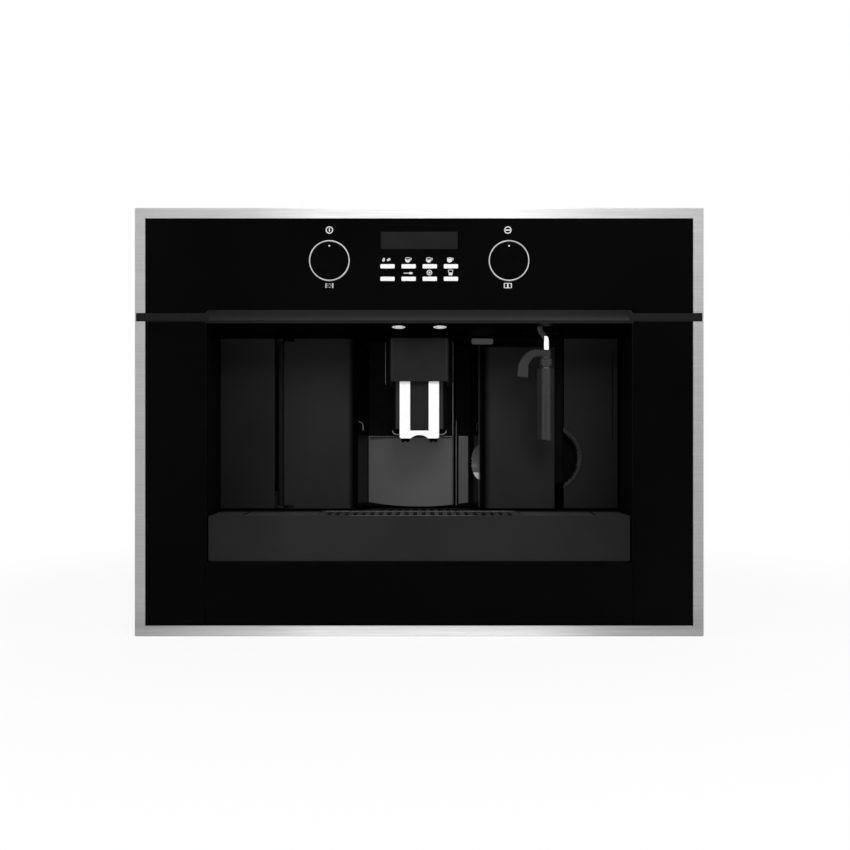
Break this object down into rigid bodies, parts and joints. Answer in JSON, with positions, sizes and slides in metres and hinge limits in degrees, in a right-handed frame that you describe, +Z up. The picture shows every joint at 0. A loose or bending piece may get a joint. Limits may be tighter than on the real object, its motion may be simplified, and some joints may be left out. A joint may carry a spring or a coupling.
{
  "type": "built in coffee machine",
  "caption": "flush steel-framed black glass front with knobs, push bars, lit cup niche, height-adjustable spout, steam wand, drip tray and pull-out water tank, on runners",
  "frame": {"origin": "middle of the lower edge of the steel front, on its rear face where it meets the cabinet", "axes": "+X to the viewer's right along the front, +Y into the cabinet, +Z up"},
  "size_m": [0.595, 0.4121, 0.448],
  "materials": {
    "steel": "brushed along the length",
    "grip_dark": "satin",
    "black_glass": "polished, back-painted black",
    "carrier_black": "moulded",
    "board_green": "solder mask",
    "display_dark": "smooth",
    "liner_black": "fine grain",
    "lamp_white": "lit diffuser",
    "panel_matte": "fine grain",
    "panel_outer": "fine grain",
    "catch_grey": "satin",
    "bay_gloss": "polished",
    "splash_grey": "satin",
    "housing_dark": "satin",
    "spout_black": "satin",
    "chrome": "polished",
    "tray_dark": "fine grain",
    "grid_steel": "satin",
    "tank_smoke": "smoky",
    "wand_grey": "soft",
    "knob_black": "with bright rim",
    "bar_white": "satin white",
    "zinc_sheet": "galvanised",
    "inner_plastic": "moulded",
    "brew_grey": "moulded",
    "hopper_smoke": "smoky",
    "boiler_metal": "cast",
    "pump_metal": "plated",
    "rail_zinc": "zinc plated"
  },
  "bodies": {
    "cabinet_rails": {"rail_outer": "rail_zinc"},
    "rail_middles": {"rail_middle": "rail_zinc"},
    "machine": {"front_frame": "steel", "handle_band": "grip_dark", "control_glass": "black_glass", "side_glass": "black_glass", "lower_glass": "black_glass", "front_carrier": "carrier_black", "control_board": "board_green", "display_window": "display_dark", "niche_liner": "liner_black", "lamps": "lamp_white", "left_outer_panel": "panel_outer", "right_inner_panel": "panel_matte", "door_catch": "catch_grey", "bay_right": "bay_gloss", "splash_fixed": "splash_grey", "hinge_brackets": "liner_black", "wand_socket": "carrier_black", "housing_shell": "zinc_sheet", "top_cover": "zinc_sheet", "rear_cover": "zinc_sheet", "power_inlet": "carrier_black", "chassis": "inner_plastic", "grounds_container": "inner_plastic", "brew_unit": "brew_grey", "grinder": "brew_grey", "bean_hopper": "hopper_smoke", "boiler": "boiler_metal", "pump": "pump_metal", "power_board": "board_green", "rail_inner": "rail_zinc"},
    "service_door": {"door_panel": "panel_matte", "door_bay": "bay_gloss", "splash_door": "splash_grey", "spout_housing": "housing_dark", "spout_column": "bay_gloss"},
    "coffee_spout": {"spout_body": "spout_black", "spout_trim": "chrome"},
    "tray": {"drip_tray": "tray_dark"},
    "grid": {"cup_grid": "grid_steel"},
    "tank": {"tank_front": "panel_outer", "water_tank": "tank_smoke", "tank_lid": "inner_plastic"},
    "steam_wand": {"wand_tube": "chrome", "wand_grip": "wand_grey", "wand_sleeve": "wand_grey"},
    "wand_ring": {"selector_ring": "wand_grey"},
    "knob_left": {"left_knob": "knob_black"},
    "knob_right": {"right_knob": "knob_black"},
    "lid": {"hopper_lid": "inner_plastic"},
    "dial": {"grind_dial": "inner_plastic"},
    "bar_1": {"button_1": "bar_white"},
    "bar_2": {"button_2": "bar_white"},
    "bar_3": {"button_3": "bar_white"},
    "bar_4": {"button_4": "bar_white"},
    "bar_5": {"button_5": "bar_white"},
    "bar_6": {"button_6": "bar_white"},
    "bar_7": {"button_7": "bar_white"},
    "bar_8": {"button_8": "bar_white"}
  },
  "joints": [
    {"name": "machine_slide", "type": "slide", "parent": "cabinet_rails", "child": "machine", "axis": [0, -1, 0], "range_m": [0, 0.34]},
    {"name": "rail_extend", "type": "slide", "parent": "cabinet_rails", "child": "rail_middles", "axis": [0, -1, 0], "range_m": [0, 0.17]},
    {"name": "door_swing", "type": "hinge", "parent": "machine", "child": "service_door", "pos_m": [-0.155, 0.057, 0.22], "axis": [0, 0, -1], "range_deg": [0, 100]},
    {"name": "spout_height", "type": "slide", "parent": "service_door", "child": "coffee_spout", "axis": [0, 0, 1], "range_m": [0, 0.042]},
    {"name": "tray_pull", "type": "slide", "parent": "machine", "child": "tray", "axis": [0, -1, 0], "range_m": [0, 0.13]},
    {"name": "grid_lift", "type": "slide", "parent": "tray", "child": "grid", "axis": [0, 0, 1], "range_m": [0, 0.06]},
    {"name": "tank_pull", "type": "slide", "parent": "machine", "child": "tank", "axis": [0, -1, 0], "range_m": [0, 0.3]},
    {"name": "wand_tilt", "type": "hinge", "parent": "machine", "child": "steam_wand", "pos_m": [0.13, 0.02, 0.34], "axis": [-1, 0, 0], "range_deg": [0, 32]},
    {"name": "ring_turn", "type": "hinge", "parent": "steam_wand", "child": "wand_ring", "pos_m": [0.1368, 0.02, 0.288], "axis": [0, 0, 1], "range_deg": [0, 60]},
    {"name": "left_knob_turn", "type": "hinge", "parent": "machine", "child": "knob_left", "pos_m": [-0.0939, -0.018, 0.3928], "axis": [0, -1, 0], "continuous": true},
    {"name": "right_knob_turn", "type": "hinge", "parent": "machine", "child": "knob_right", "pos_m": [0.0939, -0.018, 0.3928], "axis": [0, -1, 0], "continuous": true},
    {"name": "hopper_lid_swing", "type": "hinge", "parent": "machine", "child": "lid", "pos_m": [-0.075, 0.2912, 0.4377], "axis": [-1, 0, 0], "range_deg": [0, 95]},
    {"name": "grind_dial_turn", "type": "hinge", "parent": "machine", "child": "dial", "pos_m": [0.062, 0.25, 0.438], "axis": [0, 0, 1], "range_deg": [0, 150]},
    {"name": "press_1", "type": "slide", "parent": "machine", "child": "bar_1", "axis": [0, 1, 0], "range_m": [0, 0.001], "stiffness_N_per_m": 800, "springref_m": -0.0005},
    {"name": "press_2", "type": "slide", "parent": "machine", "child": "bar_2", "axis": [0, 1, 0], "range_m": [0, 0.001], "stiffness_N_per_m": 800, "springref_m": -0.0005},
    {"name": "press_3", "type": "slide", "parent": "machine", "child": "bar_3", "axis": [0, 1, 0], "range_m": [0, 0.001], "stiffness_N_per_m": 800, "springref_m": -0.0005},
    {"name": "press_4", "type": "slide", "parent": "machine", "child": "bar_4", "axis": [0, 1, 0], "range_m": [0, 0.001], "stiffness_N_per_m": 800, "springref_m": -0.0005},
    {"name": "press_5", "type": "slide", "parent": "machine", "child": "bar_5", "axis": [0, 1, 0], "range_m": [0, 0.001], "stiffness_N_per_m": 800, "springref_m": -0.0005},
    {"name": "press_6", "type": "slide", "parent": "machine", "child": "bar_6", "axis": [0, 1, 0], "range_m": [0, 0.001], "stiffness_N_per_m": 800, "springref_m": -0.0005},
    {"name": "press_7", "type": "slide", "parent": "machine", "child": "bar_7", "axis": [0, 1, 0], "range_m": [0, 0.001], "stiffness_N_per_m": 800, "springref_m": -0.0005},
    {"name": "press_8", "type": "slide", "parent": "machine", "child": "bar_8", "axis": [0, 1, 0], "range_m": [0, 0.001], "stiffness_N_per_m": 800, "springref_m": -0.0005}
  ],
  "couplings": [
    {"joint": "rail_extend", "follows": "machine_slide", "ratio": 0.5}
  ]
}
